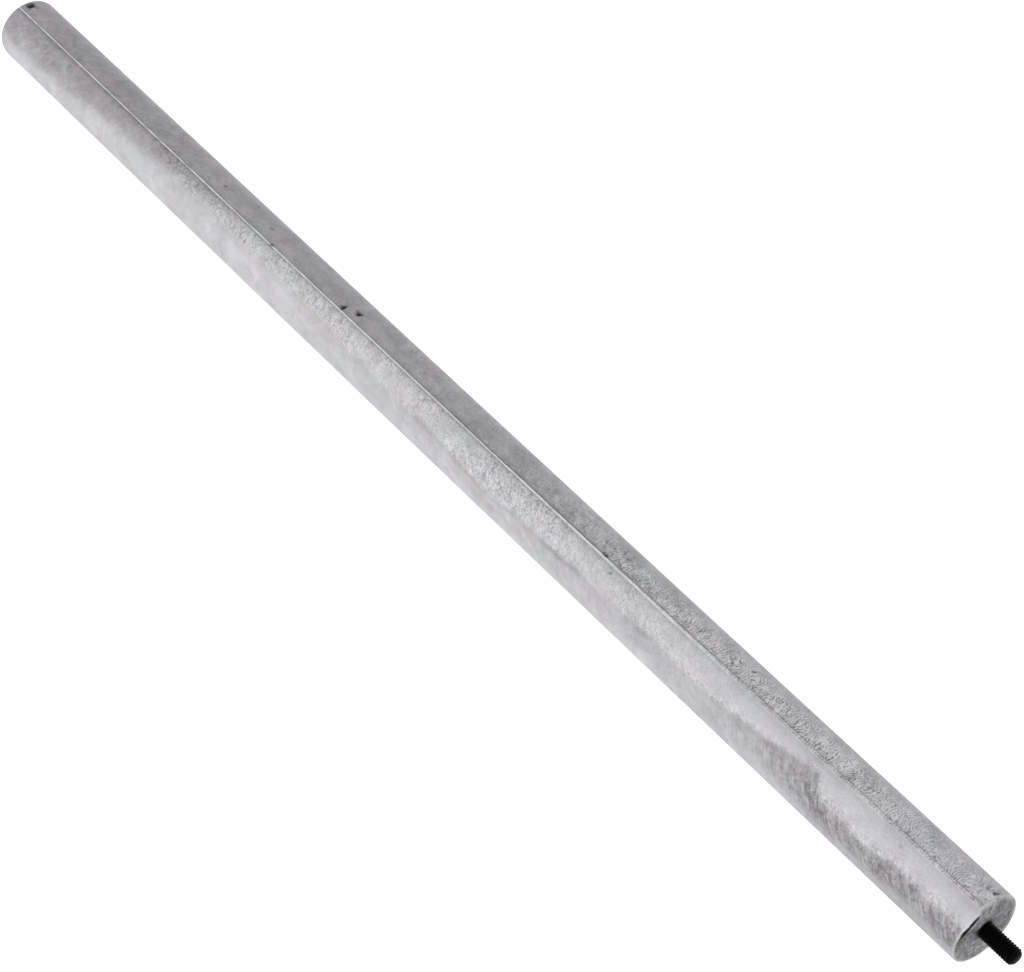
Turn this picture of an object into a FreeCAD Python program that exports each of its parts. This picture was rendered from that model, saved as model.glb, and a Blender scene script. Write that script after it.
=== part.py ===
import FreeCAD, Part
import math
import os

# Sacrificial anode rod for a water heater: a long magnesium bar, cast in a mould of two halves
# round the root of a threaded steel stud. Millimetres and degrees.
# The origin is the middle of the end face that the stud leaves, +X runs out along the stud, and
# the bar lies on its side along -X with +Z up.
# An angle round the bar is counted from straight up towards -Y.

# Cast bar, which a bend after casting has left slightly bowed to one side
bar_length = 550.0
bar_radius = 13.0
bow_depth = 0.7
stud_end_chamfer = 0.5
far_end_chamfer = 0.9

# Parting line of the mould, and how far the second half is set off along it at each end
seam_angle = 14.0
far_mismatch = 0.03
stud_end_mismatch = 0.25

# Line of flash along the parting line. Towards the stud end, at the top, it is rubbed down to a
# broad land that is level with the proud half.
flash_width = 0.35
flash_height = 0.2
low_flash_height = 0.05
flash_root = 1.0
land_width = 1.2
land_height = 0.04
land_start = -240.0
land_full = -95.0

# Split at the rim of the stud end: a sliver of the skin stands proud with a crack behind it
sliver_start_angle = 16.0
sliver_end_angle = 67.0
sliver_thickness = 0.8
sliver_height = 0.9
crack_width = 0.5
crack_depth = 0.8

# Blow holes in the skin: distance from the stud end, angle, and size round and along the bar
blow_holes = [
    (327.2, 5.9, 2.4, 1.1),
    (321.2, -3.4, 1.7, 1.4),
    (408.2, -8.1, 1.0, 0.8),
    (391.8, -26.0, 0.9, 0.7),
    (377.7, -9.6, 0.9, 0.8),
    (110.5, -19.0, 1.0, 0.8),
    (2.2, -19.8, 1.1, 0.9),
]

# Chip out of the far rim, beside the parting line
chip_angle = -4.0
chip_size_round = 2.0
chip_size_along = 3.0

# Threaded stud: M6, drawn at its outer diameter. Its root, cast into the bar, is the plain wire
# that the thread is rolled on.
thread_diameter = 6.0
wire_diameter = 5.35
stud_reach = 13.5
stud_root = 30.0
stud_chamfer = 0.9

# Worked out from the sizes above
bow_radius = bar_length ** 2 / (8.0 * bow_depth) + bow_depth / 2.0
trim_length = bar_radius
trim_radius = 1.5 * bar_radius
hidden_overlap = 6.0
axis = FreeCAD.Vector(1, 0, 0)


def bow(x):
    """Sideways place of the bar's middle line at x: 0 at both ends, -bow_depth half way along."""
    along = x + bar_length / 2.0
    return bow_radius - bow_depth - math.sqrt(bow_radius ** 2 - along ** 2)


def round_point(x, radius, angle):
    """A point at x, at a radius and an angle round the bowed middle line."""
    turn = math.radians(angle)
    return FreeCAD.Vector(x, bow(x) - radius * math.sin(turn), radius * math.cos(turn))


def swept(face):
    """A section face in the middle of the bar, swept along the bow and past both end faces."""
    middle = -bar_length / 2.0
    bend_centre = FreeCAD.Vector(middle, bow_radius - bow_depth, 0)
    half_turn = math.degrees(math.asin((bar_length / 2.0 + trim_length) / bow_radius))
    up = FreeCAD.Vector(0, 0, 1)
    start = face.copy()
    start.rotate(bend_centre, up, -half_turn)
    return start.revolve(bend_centre, up, 2.0 * half_turn)


def mould_half(start):
    """Half of the casting from a seam at the start angle to just past the one opposite."""
    middle = -bar_length / 2.0
    end = start + 180.0 + hidden_overlap
    centre = round_point(middle, 0.0, start)
    first = round_point(middle, bar_radius, start)
    halfway = round_point(middle, bar_radius, (start + end) / 2.0)
    last = round_point(middle, bar_radius, end)
    arc = Part.Arc(first, halfway, last).toShape()
    return swept(Part.Face(Part.Wire([Part.makeLine(centre, first), arc, Part.makeLine(last, centre)])))


def mismatch(x):
    """How far the second half is set off at x, growing evenly from the far end to the stud."""
    return far_mismatch + (stud_end_mismatch - far_mismatch) * (1.0 + x / bar_length)


def set_off(half):
    """The second half moved down along the parting line by the mismatch."""
    seam = math.radians(seam_angle)
    across = FreeCAD.Vector(0, math.cos(seam), math.sin(seam))
    down = FreeCAD.Vector(0, math.sin(seam), -math.cos(seam))
    swing = math.degrees((mismatch(0.0) - mismatch(-bar_length)) / bar_length)
    moved = half.copy()
    moved.rotate(FreeCAD.Vector(-bar_length, 0, 0), across, swing)
    moved.translate(down * far_mismatch)
    return moved


def land_share(x):
    """0 where the flash stands as cast, 1 where it is rubbed down to the broad land."""
    share = (x - land_start) / (land_full - land_start)
    return min(max(share, 0.0), 1.0)


def flash_strip(seam, width_at, height_at):
    """A narrow raised strip along the bar, centred on a seam or reaching on past it as a land."""
    near_angle = seam + math.degrees(flash_width / bar_radius) / 2.0
    ends = [-bar_length - trim_length, trim_length]
    far_steps = [ends[0] + (land_start - ends[0]) * step / 4.0 for step in range(4)]
    stations = far_steps + [land_start, land_full, ends[1]]
    wires = []
    for x in stations:
        far_angle = near_angle - math.degrees(width_at(x) / bar_radius)
        crest = bar_radius + height_at(x)
        root = bar_radius - flash_root
        corners = [(root, near_angle), (crest, near_angle), (crest, far_angle), (root, far_angle)]
        wires.append(Part.makePolygon([round_point(x, *corner) for corner in corners + corners[:1]]))
    return Part.makeLoft(wires, True, True)


def trimmed(bar):
    """The bar cut square at both ends, with the edges broken."""
    outer = trim_radius - bar_radius
    profile = [
        (-bar_length, 0.0),
        (-bar_length, bar_radius - far_end_chamfer),
        (-bar_length + far_end_chamfer + outer, trim_radius),
        (-stud_end_chamfer - outer, trim_radius),
        (0.0, bar_radius - stud_end_chamfer),
        (0.0, 0.0),
    ]
    outline = Part.makePolygon([FreeCAD.Vector(x, 0, radius) for x, radius in profile + profile[:1]])
    envelope = Part.Face(outline).revolve(FreeCAD.Vector(), axis, 360.0)
    return bar.common(envelope)


def cast_bar():
    """The plain casting: both mould halves, and the flash along the top and bottom seams."""
    def top_width(x):
        return flash_width + (land_width - flash_width) * land_share(x)

    def top_height(x):
        return flash_height + (land_height - flash_height) * land_share(x)

    def low_width(x):
        return flash_width

    def low_height(x):
        return mismatch(x) + low_flash_height

    first_half = mould_half(seam_angle)
    second_half = set_off(mould_half(seam_angle + 180.0))
    top = flash_strip(seam_angle, top_width, top_height)
    low = flash_strip(seam_angle + 180.0, low_width, low_height)
    bar = trimmed(first_half)
    for piece in (second_half, top, low):
        bar = bar.fuse(trimmed(piece))
    return bar


def ring_sector(inner, outer, low, high):
    """A curved wall over the sliver's angles, between two radii and two places along X."""
    middle_angle = (sliver_start_angle + sliver_end_angle) / 2.0
    rim = {}
    for radius in (inner, outer):
        for angle in (sliver_start_angle, middle_angle, sliver_end_angle):
            turn = math.radians(angle)
            rim[radius, angle] = FreeCAD.Vector(low, -radius * math.sin(turn), radius * math.cos(turn))
    arcs = []
    for radius in (inner, outer):
        arc = Part.Arc(rim[radius, sliver_start_angle], rim[radius, middle_angle], rim[radius, sliver_end_angle])
        arcs.append(arc.toShape())
    first = Part.makeLine(rim[inner, sliver_start_angle], rim[outer, sliver_start_angle])
    last = Part.makeLine(rim[inner, sliver_end_angle], rim[outer, sliver_end_angle])
    wire = Part.Wire(Part.sortEdges([arcs[0], last, arcs[1], first])[0])
    return Part.Face(wire).extrude(axis * (high - low))


def blow_hole(distance, angle, size_round, size_along):
    """A cutter for a hollow in the skin: a short roller sunk to its middle, lying round the bar."""
    turn = math.radians(angle)
    tangent = FreeCAD.Vector(0, -math.cos(turn), -math.sin(turn))
    middle = round_point(-distance, bar_radius, angle)
    return Part.makeCylinder(size_along / 2.0, size_round, middle - tangent * (size_round / 2.0), tangent)


def anode_rod():
    """The magnesium casting with its split rim, chipped rim, blow holes and the stud's bore."""
    outer = bar_radius - stud_end_chamfer
    inner = outer - sliver_thickness
    sliver = ring_sector(inner, outer, -crack_depth, sliver_height)
    crack = ring_sector(inner - crack_width, inner, -crack_depth, sliver_height)
    chip = blow_hole(bar_length, chip_angle, chip_size_round, chip_size_along)
    bore = Part.makeCylinder(wire_diameter / 2.0, stud_root, axis * -stud_root, axis)
    holes = [blow_hole(*hole) for hole in blow_holes]
    return cast_bar().fuse(sliver).cut([crack, chip, bore] + holes).removeSplitter()


def threaded_stud():
    """The steel stud: its root inside the bar, its threaded end with a chamfered tip outside."""
    radius = thread_diameter / 2.0
    shank_end = stud_reach - stud_chamfer
    root = Part.makeCylinder(wire_diameter / 2.0, stud_root, axis * -stud_root, axis)
    shank = Part.makeCylinder(radius, shank_end, FreeCAD.Vector(), axis)
    tip = Part.makeCone(radius, radius - stud_chamfer, stud_chamfer, axis * shank_end, axis)
    return root.fuse([shank, tip]).removeSplitter()


nodes = {
    "anode_rod": anode_rod(),
    "threaded_stud": threaded_stud(),
}
os.makedirs("parts", exist_ok=True)
for name, shape in nodes.items():
    solid = shape.Solids[0]
    print(name, "solids", len(shape.Solids), "valid", solid.isValid(), "volume", round(solid.Volume, 1))
    solid.exportStep(os.path.join("parts", name + ".step"))
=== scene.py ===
# The sacrificial anode of a water heater: a thick bar of cast magnesium with a short threaded steel
# stud in one end. It lies on its side, as it would on a bench. Lengths are in metres, angles in
# radians; +X points out along the stud, +Z is up, and an angle round the bar counts from straight up
# towards -Y.
import bpy
import numpy as np
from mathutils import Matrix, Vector


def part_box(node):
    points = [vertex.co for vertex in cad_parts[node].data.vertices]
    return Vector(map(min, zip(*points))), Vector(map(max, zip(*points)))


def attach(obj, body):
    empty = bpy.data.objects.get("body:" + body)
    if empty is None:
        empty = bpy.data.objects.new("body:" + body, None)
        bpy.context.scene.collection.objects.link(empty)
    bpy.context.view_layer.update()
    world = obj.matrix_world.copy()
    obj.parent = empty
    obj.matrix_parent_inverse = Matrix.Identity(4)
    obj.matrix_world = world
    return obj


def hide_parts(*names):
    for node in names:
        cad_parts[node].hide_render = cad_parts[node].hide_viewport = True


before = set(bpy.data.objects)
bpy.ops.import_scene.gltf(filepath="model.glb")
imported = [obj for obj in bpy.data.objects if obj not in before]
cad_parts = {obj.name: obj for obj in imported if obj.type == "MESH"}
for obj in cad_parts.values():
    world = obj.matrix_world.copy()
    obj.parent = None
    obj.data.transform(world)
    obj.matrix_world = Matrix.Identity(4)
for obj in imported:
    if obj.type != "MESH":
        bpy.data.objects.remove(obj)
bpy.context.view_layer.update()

# The anode bar. Magnesium is poured into a mould of two iron halves that don't meet quite true, so the
# bar has a fine line of flash along its top, and near the stud the half on the -Y side stands proud of
# the other. The skin is as cast: dull, blotched and finely wrinkled, with a few blow holes.
mm = 0.001
degree = np.pi / 180.0
full_turn = 2.0 * np.pi
bar_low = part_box("anode_rod")[0]
stud_low, stud_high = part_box("threaded_stud")
bar_length = -bar_low.x
bar_radius = 13.0 * mm
bow_depth = 0.7 * mm
seam_angle = 14.0 * degree
far_mismatch = 0.03 * mm
stud_end_mismatch = 0.25 * mm
flash_width = 0.35 * mm
flash_height = 0.2 * mm
low_flash_height = 0.05 * mm
low_flash_turn = 0.77 * degree
foot_width = 0.12 * mm
land_width = 1.2 * mm
land_height = 0.04 * mm
land_start = -240.0 * mm
land_full = -95.0 * mm
stud_end_rounding = 0.5 * mm
far_end_rounding = 0.9 * mm
wire_radius = 2.675 * mm
stud_root = -stud_low.x
sliver_start = 15.5 * degree
sliver_end = 69.0 * degree
sliver_height = 0.6 * mm
sliver_thickness = 0.7 * mm
sliver_root = 3.0 * mm
crack_start = 20.0 * degree
crack_end = 72.0 * degree
crack_inner_edge = 8.8 * mm
crack_outer_edge = 10.9 * mm
crack_depth = 1.6 * mm
wall_slope = 0.04 * mm
body_rows = 800
row_crowding = 0.6
cloud_margin = 40.0 * mm
fine_until = 112.0 * degree
fine_from = full_turn - 58.0 * degree
crest_columns = 4
crest_start = -crest_columns - 1
foot_column = crest_start - 1


def glide(low, high, value):
    """0 below low, 1 above high, and between them the curve 3t^2 - 2t^3."""
    t = np.clip((value - low) / (high - low), 0.0, 1.0)
    return t * t * (3.0 - 2.0 * t)


def hump(middle, half_width, value):
    """A bell, e to the power of minus the square of the distance from the middle in half widths."""
    return np.exp(-((value - middle) / half_width) ** 2)


def cloud(x, angle, length, count, seed):
    """Soft random values from -1 to 1 that repeat round the bar. Random numbers stand at every length
    along the bar and at count places round it, and the value glides from each to the next."""
    along = (x + bar_length + cloud_margin) / length
    around = np.mod(angle, full_turn) / full_turn * count
    row = np.floor(along).astype(int)
    column = np.floor(around).astype(int)
    row_share = glide(0.0, 1.0, along - row)
    column_share = glide(0.0, 1.0, around - column)
    numbers = np.random.default_rng(seed).uniform(-1.0, 1.0, (row.max() + 2, count))
    left, right = column % count, (column + 1) % count
    near = numbers[row, left] * (1.0 - column_share) + numbers[row, right] * column_share
    beyond = numbers[row + 1, left] * (1.0 - column_share) + numbers[row + 1, right] * column_share
    return near * (1.0 - row_share) + beyond * row_share


def clouds(x, angle, length, count, seed, octaves=3):
    """The sum of clouds, each half as large and half as strong as the one before it."""
    total = 0.0
    for octave in range(octaves):
        finer = 2 ** octave
        total = total + cloud(x, angle, length / finer, count * finer, seed + octave) / finer
    return total / 1.5


def span(start, end, count):
    """Angles from start up to end, which itself is left to the next span; both may change with x."""
    return start + (end - start) * np.linspace(0.0, 1.0, count, endpoint=False)


def land_share(x):
    """0 where the flash is a thin line, 1 where it has become a flat land, straight between them."""
    return np.clip((x - land_start) / (land_full - land_start), 0.0, 1.0)


def mismatch(x):
    """How far the +Y half is set off down the mould's parting, straight from end to end."""
    return far_mismatch + (stud_end_mismatch - far_mismatch) * (1.0 + x / bar_length)


def ring_angles(x):
    """The angle of each corner of the ring at x. The spans follow the foot and the crest of the flash,
    and are close together on the upper side and wide apart on the lower one."""
    near_crest = seam_angle + flash_width / bar_radius / 2.0 + 0.0 * x
    width = flash_width + (land_width - flash_width) * land_share(x)
    wander = 0.05 * mm * cloud(x, 0.0 * x, 9.0 * mm, 4, 5) * (1.0 - 0.5 * land_share(x))
    far_crest = near_crest - (width + wander) / bar_radius
    foot = foot_width / bar_radius
    low_seam = seam_angle + np.pi
    low_start = low_seam - 2.0 * low_flash_turn
    low_end = low_seam + 2.0 * low_flash_turn
    flat = 0.0 * x
    return np.hstack([
        span(near_crest + foot, fine_until, count=50),
        span(fine_until + flat, low_start, count=11),
        span(low_start + flat, low_end, count=4),
        span(low_end + flat, fine_from, count=12),
        span(fine_from + flat, full_turn + far_crest - foot, count=34),
        span(full_turn + far_crest - foot, full_turn + far_crest, count=1),
        span(full_turn + far_crest, full_turn + near_crest, count=crest_columns),
        span(full_turn + near_crest, full_turn + near_crest + foot, count=1)])


def skin(x, angle):
    """Distance of the skin from the bar's middle line. The -Y half is round; the +Y half is as round but
    set off by the mismatch, so its distance falls by mismatch times the cosine of the angle from the
    seam. The flash and the low flash stand on them."""
    from_seam = np.mod(angle - seam_angle + np.pi, full_turn) - np.pi
    radius = bar_radius - np.where(from_seam < 0.0, mismatch(x) * np.cos(from_seam), 0.0)
    height = flash_height + (land_height - flash_height) * land_share(x)
    height = height * (1.0 + 0.35 * cloud(x, 0.0 * x, 6.0 * mm, 4, 6) * (1.0 - land_share(x)))
    low_crest = bar_radius + mismatch(x) + low_flash_height
    on_low_flash = np.abs(np.abs(from_seam) - np.pi) < 1.1 * low_flash_turn
    radius = np.where(on_low_flash, low_crest, radius)
    crest = np.zeros_like(angle, dtype=bool)
    crest[:, crest_start:] = True
    return np.where(crest, bar_radius + height, radius)


# Blow holes: place along the bar, angle, size round and size along.
blow_holes = [
    (-327.2 * mm, 5.9 * degree, 2.4 * mm, 1.1 * mm),
    (-321.2 * mm, -3.4 * degree, 1.7 * mm, 1.4 * mm),
    (-408.2 * mm, -8.1 * degree, 1.0 * mm, 0.8 * mm),
    (-391.8 * mm, -26.0 * degree, 0.9 * mm, 0.7 * mm),
    (-377.7 * mm, -9.6 * degree, 0.9 * mm, 0.8 * mm),
    (-110.5 * mm, -19.0 * degree, 1.0 * mm, 0.8 * mm),
    (-2.2 * mm, -19.8 * degree, 1.1 * mm, 0.9 * mm),
    (-547.4 * mm, -4.0 * degree, 2.4 * mm, 2.2 * mm)]


def hollows(x, angle):
    """How deep the blow holes go: each is a bell with half its own sizes as half widths, and 0.9 of its
    size along the bar as depth."""
    depth = np.zeros_like(angle)
    for hole_x, hole_angle, size_round, size_along in blow_holes:
        from_hole = (np.mod(angle - hole_angle + np.pi, full_turn) - np.pi) * bar_radius
        depth += 0.9 * size_along * np.exp(
            -((x - hole_x) / (0.5 * size_along)) ** 2 - (from_hole / (0.5 * size_round)) ** 2)
    return depth


# Nicks: place along the bar, angle and strength.
nick_half_width = 0.6 * mm
nicks = [
    (-370.5 * mm, 13.0 * degree, 1.0),
    (-328.2 * mm, 7.6 * degree, 0.7),
    (-322.6 * mm, -6.0 * degree, 0.6),
    (-319.9 * mm, -6.4 * degree, 0.8),
    (-177.2 * mm, 9.6 * degree, 1.0),
    (-178.5 * mm, 8.8 * degree, 0.6),
    (-171.0 * mm, 25.0 * degree, 0.6),
    (-178.0 * mm, -10.0 * degree, 0.5),
    (-171.5 * mm, -12.0 * degree, 0.45),
    (-544.8 * mm, -9.0 * degree, 0.8),
    (-545.6 * mm, 3.0 * degree, 0.7),
    (-1.6 * mm, -25.0 * degree, 0.7),
    (-4.6 * mm, -18.0 * degree, 0.6),
    (-5.0 * mm, -24.5 * degree, 0.5),
    (-32.0 * mm, 26.0 * degree, 0.3)]


def dark_spots(x, angle):
    """How dark the nicks are: each is a bell of the same half width and of its own strength."""
    share = np.zeros_like(angle)
    for nick_x, nick_angle, strength in nicks:
        from_nick = (np.mod(angle - nick_angle + np.pi, full_turn) - np.pi) * bar_radius
        share += strength * np.exp(-((x - nick_x) ** 2 + from_nick ** 2) / nick_half_width ** 2)
    return np.clip(share, 0.0, 1.0)


def arc(rounding, count):
    """A quarter circle from the end face to the skin: how far each ring lies in from the end, and in from
    the skin, as the rounding times one minus the cosine, and one minus the sine, of the turn."""
    turn = np.linspace(0.0, np.pi / 2.0, count)[:, None]
    return rounding * (1.0 - np.cos(turn)), rounding * (1.0 - np.sin(turn))


# The rings run from the bottom of the stud's bore out over the near face, round its rim, along the skin
# and over the far rim to the middle of the far face.
near_in, near_inset = arc(stud_end_rounding, count=4)
far_in, far_inset = arc(far_end_rounding, count=5)
body = np.linspace(0.0, 1.0, body_rows)[1:-1, None]
body = (body + row_crowding * body ** 2) / (1.0 + row_crowding)
body = -stud_end_rounding - (bar_length - stud_end_rounding - far_end_rounding) * body
inner_rings = np.append(np.linspace(0.0, 0.98, 15), 1.0)[:, None]
far_rings = np.linspace(1.0, 0.08, 12)[1:, None]
face_rows = len(inner_rings) + 4
inner_wall = face_rows - 3
outer_wall = face_rows - 2
crack_brink = face_rows - 1
station = np.vstack([[[-stud_root]], np.zeros((face_rows, 1)), -near_in, body,
                     -bar_length + far_in[::-1], -bar_length + 0.0 * far_rings])
inset = np.vstack([np.zeros((face_rows + 1, 1)), near_inset, 0.0 * body, far_inset[::-1],
                   far_end_rounding + 0.0 * far_rings])
angle = ring_angles(station)
x = station + 0.0 * angle
turned = np.mod(angle + np.pi, full_turn) - np.pi
side = (np.mod(angle - seam_angle, full_turn) < np.pi).astype(float)
distance = -x
on_face = np.zeros_like(angle)
on_face[:face_rows + 1] = 1.0
on_far_face = np.zeros_like(angle)
on_far_face[-len(far_rings):] = 1.0
face = on_face + on_far_face

# Where the skin is pale, frosted, wrinkled or stained: each is a share, from about 0 to 1. The band is the
# pale frosted strip below the flash, and its lower edge is given by its angle at places along the bar. The
# tongue is the smooth part of the band near the stud, the flank the streaked dark skin below it, mauve the
# duller cast towards the far end, and the ribs are the wrinkles on the other side of the flash.
drift = 5.0 * degree * clouds(x, angle, 14.0 * mm, 14, 11)
wavy = turned + drift
band_places = np.array([-460, -430, -400, -345, -318, -262, -235, -200,
                        -165, -120, -92, -77, -68, -62, -40, 0]) * mm
band_angles = np.array([32, 45, 43, 42, 52, 56, 62, 60,
                        54, 54, 48, 36, 31, 52, 57, 51]) * degree
band_edge = np.interp(x, band_places, band_angles)
from_edge = wavy - band_edge
band = glide(6.0 * degree, -6.0 * degree, from_edge) * side
band_share = glide(475.0 * mm, 415.0 * mm, distance)
mauve_places = np.array([-550, -500, -460, -410, -370]) * mm
mauve_angles = np.array([72, 58, 44, 27, 12]) * degree
mauve_edge = np.interp(x, mauve_places, mauve_angles)
mauve = glide(16.0 * degree, -12.0 * degree, wavy - mauve_edge)
mauve *= glide(-60.0 * degree, -10.0 * degree, wavy)
mauve *= glide(350.0 * mm, 420.0 * mm, distance)
flank = glide(-4.0 * degree, 14.0 * degree, from_edge) * glide(99.0 * degree, 72.0 * degree, wavy)
flank *= 0.2 + 0.8 * glide(110.0 * mm, 55.0 * mm, distance)
flank *= glide(270.0 * mm, 215.0 * mm, distance)
tongue = side * glide(3.0 * degree, -14.0 * degree, from_edge) * glide(165.0 * mm, 100.0 * mm, distance)
blotches = clouds(x, angle, 26.0 * mm, 9, 21)
mottle = clouds(x, angle, 5.0 * mm, 30, 31)
lower = 1.0 - side
ribs = lower * glide(260.0 * mm, 90.0 * mm, distance) * hump(-3.0 * degree, 22.0 * degree, turned)
pale = np.where(side > 0.5, 0.66, 0.42) + 0.08 * band * band_share - 0.38 * flank - 0.21 * mauve * side
pale -= 0.05 * band * hump(425.0 * mm, 45.0 * mm, distance)
pale += 0.36 * ribs + 0.05 * lower * glide(280.0 * mm, 450.0 * mm, distance)
under_edge = hump(3.0 * degree, 4.0 * degree, from_edge) * side
under_edge *= glide(300.0 * mm, 250.0 * mm, distance)
pale -= 0.20 * under_edge * np.clip(0.6 + 0.9 * clouds(x, angle, 12.0 * mm, 10, 25), 0.0, 1.0)
pale += (0.05 + 0.05 * mauve) * blotches + 0.05 * mottle
# Painted shade round 53° on the -Y side, within about 300 mm of the stud, where the lamp's highlight falls.
pale -= 0.09 * side * hump(53.0 * degree, 10.0 * degree, turned) * glide(350.0 * mm, 300.0 * mm, distance)
pale -= 0.12 * side * glide(72.0 * degree, 92.0 * degree, turned) * glide(120.0 * mm, 20.0 * mm, distance)
# Painted highlight on the -Y side near the stud, round 27° from the top.
near_highlight = hump(27.0 * degree, 11.0 * degree, turned) * glide(220.0 * mm, 110.0 * mm, distance)
pale += 0.12 * side * near_highlight
patchy = np.clip(0.7 + 0.8 * clouds(x, angle, 18.0 * mm, 8, 27), 0.15, 1.2)
frost = side * band * band_share * patchy * (1.0 - 0.95 * tongue)
frost += 0.6 * side * hump(50.0 * degree, 8.0 * degree, wavy) * glide(75.0 * mm, 55.0 * mm, distance)
frost += 0.35 * flank + 0.8 * ribs + 0.25 * lower * glide(420.0 * mm, 250.0 * mm, distance)
frost = np.clip(frost, 0.0, 1.0)
cool = hump(20.0 * mm, 22.0 * mm, distance) * hump(-8.0 * degree, 14.0 * degree, turned) * lower
cool += 0.5 * tongue * hump(28.0 * degree, 14.0 * degree, turned)
stain = np.clip(2.4 * clouds(x, angle, 7.0 * mm, 22, 41) - 0.5, 0.0, 1.0)
stain *= hump(68.0 * degree, 12.0 * degree, wavy) * hump(225.0 * mm, 60.0 * mm, distance)
stain += 0.5 * hump(50.0 * degree, 9.0 * degree, wavy) * hump(332.0 * mm, 12.0 * mm, distance)

# The flash's crest is polished and carries a painted highlight along it, and dirt and painted shade lie in
# the corners at its feet.
far_line = 1.0 - land_share(x)
# Painted highlight along the flash's polished crest.
crest = np.zeros_like(angle)
crest[:, crest_start:] = 0.15 + 0.85 * glide(95.0 * mm, 150.0 * mm, distance[:, crest_start:])
crest[:, crest_start] = 0.8
crest *= 0.72 + 0.4 * clouds(x, 0.0 * x, 3.0 * mm, 4, 44)
# Dirt and painted shade in the corners at the flash's feet.
foot = np.zeros_like(angle)
at_foot = x[:, foot_column]
foot[:, foot_column] = 0.75 + 0.3 * cloud(at_foot, 0.0 * at_foot, 2.5 * mm, 4, 45)
foot[:, foot_column - 1] = 0.12
fading = 0.7 * glide(230.0 * mm, 300.0 * mm, distance) + 0.4 * glide(150.0 * mm, 100.0 * mm, distance)
foot *= 1.0 - fading
foot[:, 0] = 0.45 * far_line[:, 0]
foot[:, 1] = 0.25 * far_line[:, 0]
shade = 0.18 * hump(18.5 * degree, 3.0 * degree, turned)
shade += 0.12 * hump(8.0 * degree, 3.5 * degree, turned) * lower
shade *= 0.35 + 0.65 * far_line
pale -= 0.55 * shade * (1.0 - crest) * (1.0 - face)

# The relief is cut inwards only, so that the skin stays inside the mould's size.
ridges = np.abs(cloud(x, angle, 1.25 * mm, 16, 51) + 0.5 * cloud(x, angle, 0.9 * mm, 34, 52))
wrinkles = np.abs(clouds(x, angle, 2.4 * mm, 44, 61, 2))
relief = 0.05 * mm * (0.5 + 0.5 * clouds(x, angle, 30.0 * mm, 5, 71))
relief += 0.08 * mm * frost * wrinkles + 0.14 * mm * ribs * ridges
hole = hollows(x, angle) + 0.15 * mm * dark_spots(x, angle)

# Along the rim's pale side a sliver of the skin reaches past the end face, with a black crack behind it.
# The sliver is lower at its lower end, where the crack also moves out towards the rim.
sliver_drop = 0.75
crack_outer_shift = 1.1 * mm
crack_inner_shift = 1.6 * mm
crack_middle = 38.0 * degree
crack_half_turn = 30.0 * degree
low_end = glide(43.0 * degree, 57.0 * degree, turned)
along_sliver = glide(sliver_start, sliver_start + 3.0 * degree, turned)
along_sliver *= glide(sliver_end, sliver_end - 4.0 * degree, turned)
reach = sliver_height * (1.0 - sliver_drop * low_end)
reach *= along_sliver * (1.0 + 0.10 * cloud(0.0 * x, angle, 4.0 * mm, 120, 81))
along_crack = glide(crack_start, crack_start + 4.0 * degree, turned)
along_crack *= glide(crack_end, crack_end - 5.0 * degree, turned)
rounding_left = 1.0 - 0.8 * along_sliver * (station > -1.0 * mm)
rim_radius = skin(x, angle) - relief * (1.0 - face) - hole - inset * rounding_left
face_edge = (skin(0.0 * x, angle) - sliver_thickness)[:1]
crack_outside = crack_outer_edge + crack_outer_shift * low_end[:1]
from_middle = (turned[:1] - crack_middle) / crack_half_turn
crack_inside = crack_inner_edge + crack_inner_shift * np.clip(from_middle ** 2, 0.0, 1.0)
radius = rim_radius.copy()
radius[0] = wire_radius
radius[1:inner_wall] = wire_radius + (crack_inside - wire_radius) * inner_rings
radius[inner_wall] = crack_inside + wall_slope
radius[outer_wall] = crack_outside - wall_slope
radius[crack_brink] = crack_outside
radius[face_rows] = face_edge
radius[-len(far_rings):] = rim_radius[-len(far_rings):] * far_rings
rough = 0.14 * mm * (0.5 + 0.5 * clouds(12.0 * radius, angle, 14.0 * mm, 10, 82, 4))
outward = reach * glide(-sliver_root, 0.0, x)
outward[:face_rows] = -rough[:face_rows] * glide(0.0, 1.0 * mm, radius[:face_rows] - wire_radius)
outward[0] = 0.0
outward[inner_wall:crack_brink] -= crack_depth * along_crack[inner_wall:crack_brink]
outward[-len(far_rings):] = rough[-len(far_rings):]

# The blow holes and nicks are darkened, and painted black shade fills the crack and the face close round the
# stud.
darkening_and_shade = np.clip(hole / (0.4 * mm) + 0.8 * dark_spots(x, angle), 0.0, 1.0)
darkening_and_shade[inner_wall - 1:crack_brink] = along_crack[inner_wall - 1:crack_brink]
darkening_and_shade[crack_brink] = 0.7 * along_crack[crack_brink]
darkening_and_shade[:2] = 1.0
darkening_and_shade[2:5] = np.array([0.8, 0.5, 0.2])[:, None]

# The broken edge of the rim carries a painted highlight.
rim = hump(0.1 * mm, 0.35 * mm, distance) * (1.0 - on_face)
rim[face_rows] = 1.0
rim *= 0.75 + 0.5 * clouds(0.0 * x, angle, 4.0 * mm, 24, 91)
rim *= 1.0 - 0.8 * hump(-22.0 * degree, 14.0 * degree, turned)

middle = -bow_depth * (1.0 - (1.0 + 2.0 * x / bar_length) ** 2)
points = np.stack([x + outward, middle - radius * np.sin(angle), radius * np.cos(angle)], axis=-1)


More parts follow.
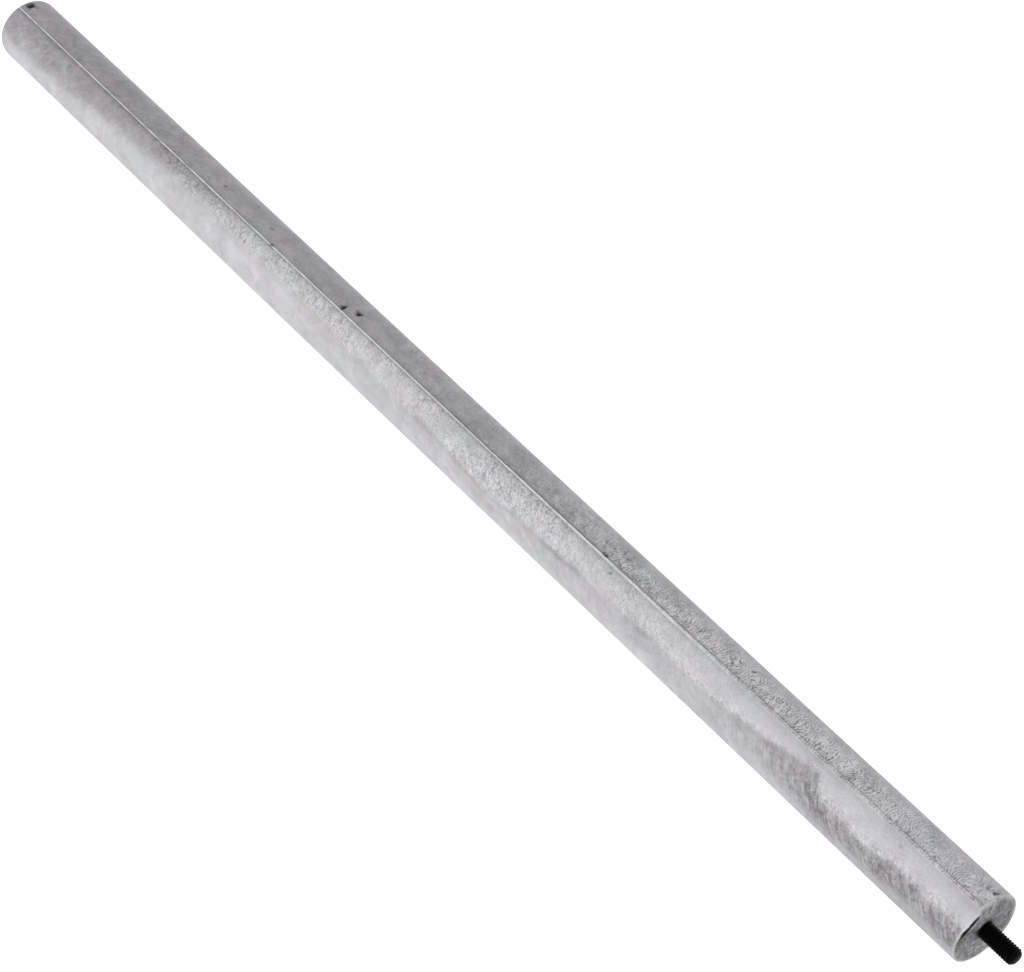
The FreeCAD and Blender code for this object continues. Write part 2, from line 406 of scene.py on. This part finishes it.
def closed_mesh(name, rings, first_pole, last_pole):
    """A closed skin: quads between neighbouring rings of corners, and from each pole a fan of triangles to
    the ring beside it. The rings run from +X to -X, and round from up towards -Y."""
    rows, columns = rings.shape[:2]
    corner = np.arange(rows * columns).reshape(rows, columns)
    beside = np.roll(corner, -1, axis=1)
    quads = np.stack([corner[:-1], corner[1:], beside[1:], beside[:-1]], axis=-1).reshape(-1, 4)
    first, last = rows * columns, rows * columns + 1
    start = np.stack([np.full(columns, first), corner[0], beside[0]], axis=-1)
    end = np.stack([np.full(columns, last), beside[-1], corner[-1]], axis=-1)
    made = bpy.data.meshes.new(name)
    places = rings.reshape(-1, 3).tolist() + [first_pole, last_pole]
    made.from_pydata(places, [], quads.tolist() + start.tolist() + end.tolist())
    made.update()
    made.polygons.foreach_set("use_smooth", np.ones(len(made.polygons), dtype=bool))
    return made


def quad_corners(values, once_round):
    """The values at the corners of each quad, in the order of the quads. Past the last column they are
    those of the first with once_round added."""
    beside = np.roll(values, -1, axis=1)
    beside[:, -1] += once_round
    return np.stack([values[:-1], values[1:], beside[1:], beside[:-1]], axis=-1).reshape(-1)


mesh = closed_mesh("anode_bar", points, (-stud_root, 0.0, 0.0), (-bar_length, 0.0, 0.0))
shares = {"pale": pale, "frost": frost, "darkening_and_shade": darkening_and_shade, "stain": stain, "ribs": ribs,
          "face": on_face + 0.6 * on_far_face, "crest": crest * (1.0 - face), "foot": foot * (1.0 - face),
          "mauve": mauve, "flank": flank, "rim": rim, "cool": cool}
for name, values in shares.items():
    attribute = mesh.attributes.new(name, "FLOAT", "POINT")
    at_poles = [values[0].mean(), values[-1].mean()]
    attribute.data.foreach_set("value", np.append(values.ravel(), at_poles).astype(np.float32))
unrolled = mesh.uv_layers.new(name="unrolled")
flat = np.zeros((len(mesh.loops), 2), dtype=np.float32)
along, around = quad_corners(x, 0.0), quad_corners(angle * bar_radius, full_turn * bar_radius)
flat[:len(along), 0] = along
flat[:len(around), 1] = around
unrolled.data.foreach_set("uv", flat.ravel())
bar = bpy.data.objects.new("anode_bar", mesh)
bpy.context.scene.collection.objects.link(bar)
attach(bar, "root")
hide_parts("anode_rod")

material = bpy.data.materials.new("cast_magnesium")
material.use_nodes = True
tree = material.node_tree
tree.nodes.clear()


def add(kind, settings=None, **inputs):
    """Adds a node to the tree at hand. Spaces in a socket's name are written as _, and i6 stands for
    socket number 6. A socket that is given is linked, and a value is set."""
    made = tree.nodes.new(kind)
    for name, value in (settings or {}).items():
        setattr(made, name, value)
    for name, value in inputs.items():
        key = int(name[1:]) if name[0] == "i" and name[1:].isdigit() else name.replace("_", " ")
        socket = made.inputs[key]
        if isinstance(value, bpy.types.NodeSocket):
            tree.links.new(value, socket)
        else:
            socket.default_value = value
    return made


def share_of(name):
    """The mesh's own share of that name."""
    return add("ShaderNodeAttribute", {"attribute_name": name}).outputs["Fac"]


def calc(operation, first, second):
    """One step of arithmetic on two values."""
    return add("ShaderNodeMath", {"operation": operation}, i0=first, i1=second).outputs[0]


def blend(share, first, second):
    """The first colour where the share is 0, the second where it is 1."""
    return add("ShaderNodeMix", {"data_type": "RGBA"}, i0=share, i6=first, i7=second).outputs[2]


def sized(vector, along, around, turn=0.0, distortion=0.0, detail=3.0):
    """Noise whose spots are that long along the bar and that wide round it, turned by an angle."""
    turned_map = add("ShaderNodeMapping", Vector=vector, Rotation=(0.0, 0.0, turn))
    stretched = add("ShaderNodeMapping", Vector=turned_map.outputs[0],
                    Scale=(1.0 / along, 1.0 / around, 1.0 / around))
    return add("ShaderNodeTexNoise", {"noise_type": "FBM", "normalize": True}, Vector=stretched.outputs[0],
               Scale=1.0, Detail=detail, Roughness=0.55, Distortion=distortion).outputs["Fac"]


def centred(value, strength):
    """A noise value from 0 to 1 as a plus or minus of that strength."""
    return calc("MULTIPLY", calc("SUBTRACT", value, 0.5), strength)


def waves(vector, period, distortion, patch):
    """Wandering ridges, like those of a fingerprint, that far apart and turning every patch or so."""
    in_mm = add("ShaderNodeMapping", Vector=vector, Scale=(1000.0, 1000.0, 1000.0)).outputs[0]
    scale_of_one_mm = 0.314
    return add("ShaderNodeTexWave", {"bands_direction": "X"}, Vector=in_mm,
               Scale=scale_of_one_mm / period, Distortion=distortion, Detail=2.0,
               Detail_Scale=1.0 / patch).outputs["Fac"]


dark_metal = (0.15, 0.145, 0.155, 1.0)
bright_metal = (0.80, 0.795, 0.82, 1.0)
pink_cast = (1.06, 0.96, 1.04, 1.0)
green_cast = (0.94, 1.03, 0.97, 1.0)
cool_grey = (0.60, 0.60, 0.74, 1.0)
mauve_grey = (0.34, 0.30, 0.345, 1.0)
pink_stain = (0.52, 0.41, 0.42, 1.0)
brown_grey = (0.31, 0.28, 0.27, 1.0)
# Painted highlight for the flash's polished crest.
polished_crest_highlight = (0.92, 0.92, 0.94, 1.0)
# Painted highlight for the rim's edge.
rim_highlight = (0.86, 0.85, 0.85, 1.0)
# Dirt and painted shade for the corners at the flash's feet.
foot_dirt_and_shade = (0.10, 0.095, 0.10, 1.0)
# Black for the darkened blow holes and nicks, and painted shade in the crack and round the stud.
black_marks_and_shade = (0.004, 0.004, 0.004, 1.0)

place = add("ShaderNodeTexCoord").outputs["Object"]
wrap = add("ShaderNodeUVMap", {"uv_map": "unrolled"}).outputs["UV"]
grain = sized(place, 0.7 * mm, 0.7 * mm, detail=2.0)
crumbs = sized(place, 1.9 * mm, 1.9 * mm, distortion=0.8)
patches = sized(place, 9.0 * mm, 9.0 * mm, distortion=1.0, detail=4.0)
squiggles = sized(wrap, 1.5 * mm, 2.8 * mm, turn=0.6, distortion=2.2, detail=2.0)
rib_lines = calc("MULTIPLY", waves(wrap, 1.05, 20.0, 1.6), calc("MULTIPLY", patches, 2.0))
rib_lines = calc("ADD", rib_lines, centred(crumbs, 1.4))
strokes = sized(wrap, 1.5 * mm, 7.0 * mm, turn=0.6, distortion=1.2)
brushed = sized(wrap, 7.0 * mm, 3.0 * mm, turn=0.5, distortion=2.6, detail=5.0)
frost_share = share_of("frost")
rib_share = share_of("ribs")
flank_share = share_of("flank")
on_skin = calc("SUBTRACT", 1.0, share_of("face"))
roughened = calc("ADD", 0.16, frost_share)
marks = calc("ADD", centred(squiggles, 1.0), centred(crumbs, 0.8))
marks = calc("ADD", marks, centred(strokes, 0.7))
marks = calc("MULTIPLY", marks, calc("MULTIPLY", calc("ADD", frost_share, 0.12), on_skin))
tone = calc("ADD", share_of("pale"), centred(patches, 0.5))
tone = calc("ADD", tone, marks)
tone = calc("ADD", tone, calc("MULTIPLY", centred(grain, 0.9), roughened))
tone = calc("ADD", tone, calc("MULTIPLY", centred(rib_lines, 0.65), rib_share))
flank_marks = calc("ADD", centred(strokes, 1.0), centred(crumbs, 0.45))
tone = calc("ADD", tone, calc("MULTIPLY", flank_marks, flank_share))
tone = calc("ADD", tone, calc("MULTIPLY", centred(brushed, 0.6), calc("ADD", 0.25, share_of("mauve"))))
face_tone = calc("ADD", centred(crumbs, 1.8), centred(grain, 0.9))
tone = calc("ADD", tone, calc("MULTIPLY", calc("SUBTRACT", face_tone, 0.16), share_of("face")))
metal = add("ShaderNodeValToRGB", Fac=tone)
metal.color_ramp.elements[0].color = dark_metal
metal.color_ramp.elements[1].color = bright_metal
tint = blend(sized(place, 22.0 * mm, 12.0 * mm, distortion=1.0), pink_cast, green_cast)
colour = add("ShaderNodeMix", {"data_type": "RGBA", "blend_type": "MULTIPLY"}, i0=1.0,
             i6=metal.outputs["Color"], i7=tint).outputs[2]
layers = [("cool", 0.4, cool_grey), ("mauve", 0.25, mauve_grey), ("stain", 0.6, pink_stain),
          ("flank", 0.15, brown_grey), ("crest", 1.0, polished_crest_highlight), ("rim", 0.9, rim_highlight),
          ("foot", 1.0, foot_dirt_and_shade), ("darkening_and_shade", 1.0, black_marks_and_shade)]
for name, strength, paint in layers:
    colour = blend(calc("MULTIPLY", share_of(name), strength), colour, paint)
height = calc("MULTIPLY", calc("ADD", squiggles, rib_lines), rib_share)
height = calc("ADD", calc("ADD", grain, crumbs), height)
bump = add("ShaderNodeBump", Height=height, Strength=0.6, Distance=0.3 * mm).outputs["Normal"]
roughness = calc("ADD", 0.45, calc("MULTIPLY", crumbs, 0.3))
surface = add("ShaderNodeBsdfPrincipled", Base_Color=colour, Roughness=roughness, Metallic=0.12,
              Specular_IOR_Level=0.4, Normal=bump)
add("ShaderNodeOutputMaterial", Surface=surface.outputs["BSDF"])
mesh.materials.append(material)

# The stud. A length of steel rod with a rolled M6 thread, cast into the bar's end and blacked.
stud_reach = stud_high.x
thread_radius = stud_high.z
thread_depth = 0.61 * mm
thread_pitch = 1.0 * mm
tip_radius = 2.1 * mm
thread_columns = 72
blacked_steel = (0.0015, 0.0015, 0.002, 1.0)
rows_per_pitch = 20
thread_rows = int(stud_reach / thread_pitch * rows_per_pitch)


def thread_profile(turns):
    """Depth below the crest over one pitch: a flat crest and a flat root, each about an eighth of the
    pitch wide, and a glide from one to the other along a triangle wave."""
    wave = 2.0 * np.abs(np.mod(turns, 1.0) - 0.5)
    return thread_depth * glide(0.12, 0.85, wave)


thread_x = np.linspace(0.0, stud_reach, thread_rows)[:, None]
thread_angle = np.linspace(0.0, full_turn, thread_columns, endpoint=False)[None, :]
thread_x = thread_x + 0.0 * thread_angle
thread_angle = thread_angle + 0.0 * thread_x
depth = thread_profile(thread_x / thread_pitch - thread_angle / full_turn)
chamfer = tip_radius + stud_reach - thread_x
stud_radius = np.minimum(thread_radius - depth, chamfer)
ring_x = np.vstack([thread_x[::-1], np.zeros((1, thread_columns)), np.full((1, thread_columns), -stud_root)])
ring_radius = np.vstack([stud_radius[::-1], np.full((2, thread_columns), wire_radius)])
ring_angle = np.repeat(thread_angle[:1], len(ring_x), axis=0)
sideways, upward = -ring_radius * np.sin(ring_angle), ring_radius * np.cos(ring_angle)
stud_points = np.stack([ring_x, sideways, upward], axis=-1)
stud_mesh = closed_mesh("stud_thread", stud_points, (stud_reach, 0.0, 0.0), (-stud_root, 0.0, 0.0))
stud = bpy.data.objects.new("stud_thread", stud_mesh)
bpy.context.scene.collection.objects.link(stud)
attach(stud, "root")
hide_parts("threaded_stud")
material = bpy.data.materials.new("black_steel")
material.use_nodes = True
tree = material.node_tree
tree.nodes.clear()
surface = add("ShaderNodeBsdfPrincipled", Base_Color=blacked_steel, Roughness=0.5,
              Specular_IOR_Level=0.03)
add("ShaderNodeOutputMaterial", Surface=surface.outputs["BSDF"])
stud_mesh.materials.append(material)

# The bench, a white sheet under the bar, and the daylight round it.
floor_mesh = bpy.data.meshes.new("bench")
bench_reach = 4.0
corners = [(-bench_reach, -bench_reach, bar_low.z), (bench_reach, -bench_reach, bar_low.z),
           (bench_reach, bench_reach, bar_low.z), (-bench_reach, bench_reach, bar_low.z)]
floor_mesh.from_pydata(corners, [], [(0, 1, 2, 3)])
floor = bpy.data.objects.new("bench", floor_mesh)
bpy.context.scene.collection.objects.link(floor)
material = bpy.data.materials.new("white_sheet")
material.use_nodes = True
tree = material.node_tree
tree.nodes.clear()
sheet_glow = 0.68
path = add("ShaderNodeLightPath")
seen = calc("MAXIMUM", path.outputs["Is Camera Ray"], path.outputs["Is Glossy Ray"])
sheet = add("ShaderNodeBsdfDiffuse", Color=(0.85, 0.85, 0.85, 1.0)).outputs[0]
glow = add("ShaderNodeEmission", Color=(1.0, 1.0, 1.0, 1.0),
           Strength=calc("MULTIPLY", seen, sheet_glow)).outputs[0]
both = add("ShaderNodeAddShader", i0=sheet, i1=glow).outputs[0]
add("ShaderNodeOutputMaterial", Surface=both)
floor_mesh.materials.append(material)

# The sky lights the bar at a third of the strength at which the camera and the gloss see it, which is 1.
daylight_strength = 0.34
world = bpy.data.worlds.new("daylight")
bpy.context.scene.world = world
world.use_nodes = True
tree = world.node_tree
tree.nodes.clear()
path = add("ShaderNodeLightPath")
seen = calc("MAXIMUM", path.outputs["Is Camera Ray"], path.outputs["Is Glossy Ray"])
seen = calc("MAXIMUM", seen, path.outputs["Is Transmission Ray"])
strength = calc("ADD", daylight_strength, calc("MULTIPLY", seen, 1.0 - daylight_strength))
sky = add("ShaderNodeBackground", Color=(1.0, 1.0, 1.0, 1.0), Strength=strength).outputs[0]
add("ShaderNodeOutputWorld", Surface=sky)

middle_of_bar = Vector((-0.5 * bar_length, 0.0, 0.0))


def lamp(name, place, width, height, power):
    """A soft rectangular lamp at that place, turned to the middle of the bar."""
    light = bpy.data.lights.new(name, "AREA")
    light.shape = "RECTANGLE"
    light.size, light.size_y = width, height
    light.energy = power
    made = bpy.data.objects.new(name, light)
    made.location = place
    made.rotation_euler = (middle_of_bar - Vector(place)).to_track_quat("-Z", "Y").to_euler()
    bpy.context.scene.collection.objects.link(made)


lamp("window", (-0.35, -1.2, 0.40), width=1.4, height=0.6, power=10.6)
lamp("far_window", (-0.1, 1.0, 0.45), width=1.0, height=0.5, power=4.5)

# The camera looks down on the bar from beyond the stud.
camera_place = (0.314573, -0.418768, 0.718895)
camera_aim = Vector((-0.54827236, 0.42045904, -0.72291882))
camera_data = bpy.data.cameras.new("camera")
camera_data.sensor_width = 36.0
camera_data.lens = 102.457
camera_data.clip_start = 0.05
camera = bpy.data.objects.new("camera", camera_data)
camera.location = camera_place
camera.rotation_euler = camera_aim.to_track_quat("-Z", "Y").to_euler()
bpy.context.scene.collection.objects.link(camera)
bpy.context.scene.camera = camera
bpy.context.scene.view_settings.view_transform = "Standard"
